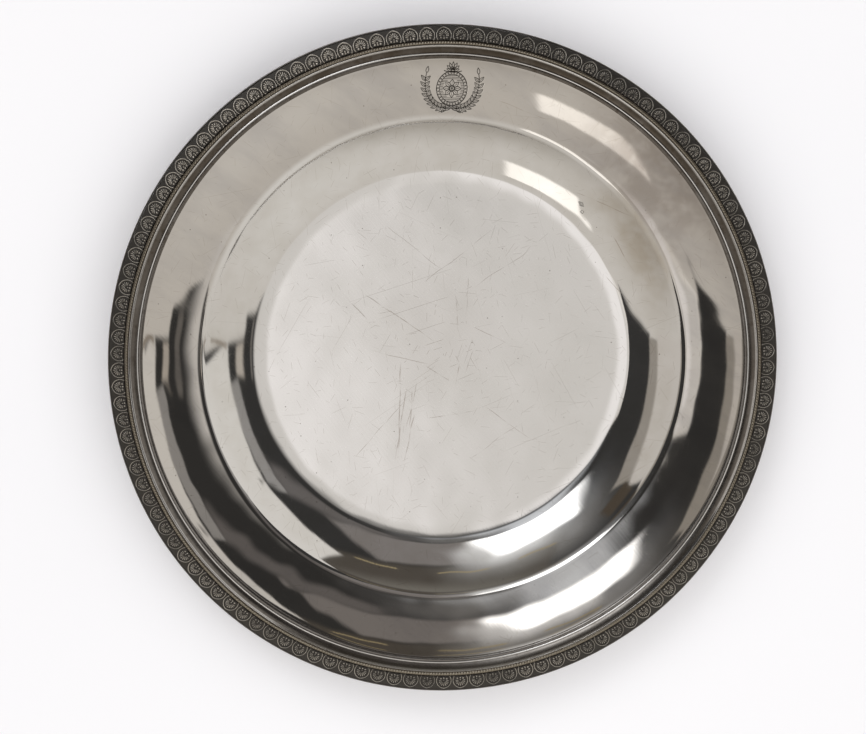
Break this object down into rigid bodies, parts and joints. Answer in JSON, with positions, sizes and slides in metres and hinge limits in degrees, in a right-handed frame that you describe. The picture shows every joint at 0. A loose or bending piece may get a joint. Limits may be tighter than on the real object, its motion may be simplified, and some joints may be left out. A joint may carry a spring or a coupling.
{
  "type": "offering plate",
  "caption": "Round deep silver offering plate: flat floor, curved well wall, hollowed rim, and an applied border of reeding, milled wire and palmettes.",
  "frame": {"origin": "centre of the base's underside, on the surface the plate stands on", "axes": "+Z is the plate's axis, up out of the well; +Y points to the engraved device on the rim; +X is to its right"},
  "size_m": [0.25, 0.25, 0.0246],
  "materials": {
    "polished_silver": "polished solid silver with fine scratches from use",
    "worn_silver": "silver with dulled, slightly tarnished hollows",
    "oxidised_silver": "silver relief, dark oxidised ground with worn bright tops"
  },
  "bodies": {
    "root": {"plate_body": "polished_silver", "reeded_moulding": "polished_silver", "milled_wire": "worn_silver", "palmette_border": "oxidised_silver", "edge_wire": "worn_silver"}
  },
  "joints": []
}
